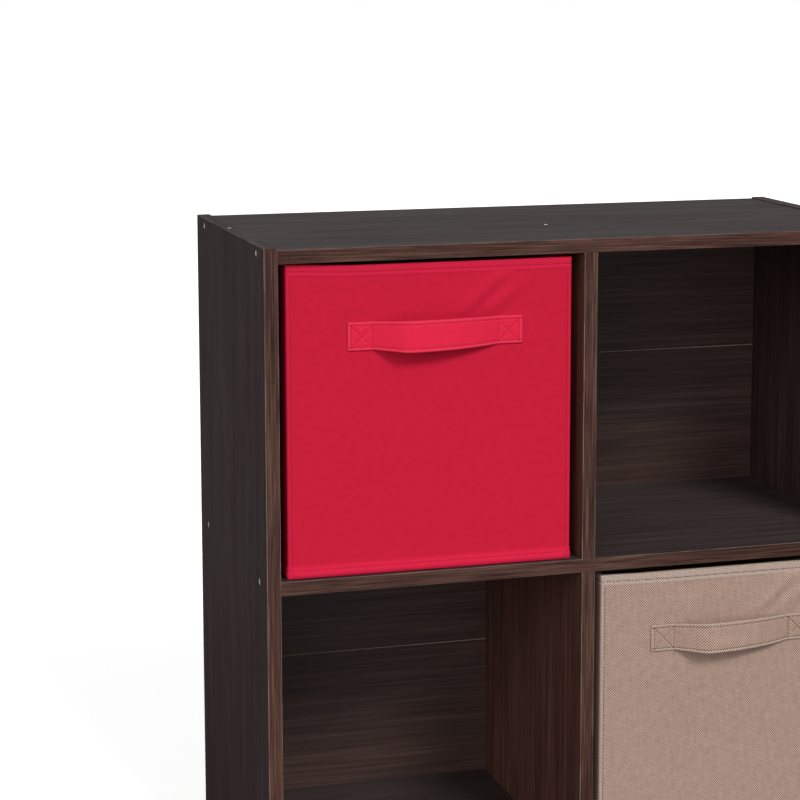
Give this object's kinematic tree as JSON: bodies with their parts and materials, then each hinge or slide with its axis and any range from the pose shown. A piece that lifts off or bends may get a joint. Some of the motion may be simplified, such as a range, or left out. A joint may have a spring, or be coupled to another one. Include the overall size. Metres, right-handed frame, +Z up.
{
  "type": "cube storage unit",
  "caption": "Open-fronted cube storage unit of dark wood-grain laminated board, with pull-out fabric drawers that have sewn strap handles.",
  "frame": {"origin": "middle of the unit's footprint, on the floor plane that its underside rests on", "axes": "+Z up; -Y is the front, which the drawers pull out towards; +X to the right as seen from the front"},
  "size_m": [0.6118, 0.3128, 0.6133],
  "materials": {
    "dark_laminate": "satin wood-grain laminate",
    "edge_band": "satin wood-grain edge band",
    "back_hardboard": "satin wood-grain foil on hardboard",
    "fold_tape": "matte paper tape",
    "screw_steel": "zinc plated",
    "dowel_beech": "raw",
    "red_fabric": "matte non-woven polypropylene",
    "tan_fabric": "matte embossed non-woven polypropylene",
    "greyboard": "raw recycled board"
  },
  "bodies": {
    "cabinet": {"left_side": "dark_laminate", "right_side": "dark_laminate", "top_panel": "dark_laminate", "bottom_panel": "dark_laminate", "centre_shelf": "dark_laminate", "upper_divider": "dark_laminate", "lower_divider": "dark_laminate", "left_side_edge_band": "edge_band", "right_side_edge_band": "edge_band", "top_edge_band": "edge_band", "bottom_edge_band": "edge_band", "shelf_edge_band": "edge_band", "upper_divider_edge_band": "edge_band", "lower_divider_edge_band": "edge_band", "left_side_end_band": "edge_band", "right_side_end_band": "edge_band", "back_upper": "back_hardboard", "back_middle": "back_hardboard", "back_lower": "back_hardboard", "back_fold_tapes": "fold_tape", "back_nails": "screw_steel", "side_screws": "screw_steel", "divider_screws": "screw_steel", "side_end_screws": "screw_steel", "side_dowels": "dowel_beech", "divider_dowels": "dowel_beech", "through_dowels": "dowel_beech"},
    "red_drawer": {"red_drawer_cover": "red_fabric", "red_drawer_bottom": "red_fabric", "red_drawer_handle": "red_fabric", "red_drawer_front_stiffener": "greyboard", "red_drawer_rear_stiffener": "greyboard", "red_drawer_left_stiffener": "greyboard", "red_drawer_right_stiffener": "greyboard"},
    "red_base_board": {"red_drawer_base_board": "red_fabric"},
    "tan_drawer": {"tan_drawer_cover": "tan_fabric", "tan_drawer_bottom": "tan_fabric", "tan_drawer_handle": "tan_fabric", "tan_drawer_front_stiffener": "greyboard", "tan_drawer_rear_stiffener": "greyboard", "tan_drawer_left_stiffener": "greyboard", "tan_drawer_right_stiffener": "greyboard"},
    "tan_base_board": {"tan_drawer_base_board": "tan_fabric"}
  },
  "joints": [
    {"name": "red_drawer_pull", "type": "slide", "parent": "cabinet", "child": "red_drawer", "axis": [0, -1, 0], "range_m": [0, 0.28]},
    {"name": "red_base_board_lift", "type": "slide", "parent": "red_drawer", "child": "red_base_board", "axis": [0, 0, 1], "range_m": [0, 0.27]},
    {"name": "tan_drawer_pull", "type": "slide", "parent": "cabinet", "child": "tan_drawer", "axis": [0, -1, 0], "range_m": [0, 0.28]},
    {"name": "tan_base_board_lift", "type": "slide", "parent": "tan_drawer", "child": "tan_base_board", "axis": [0, 0, 1], "range_m": [0, 0.27]}
  ]
}
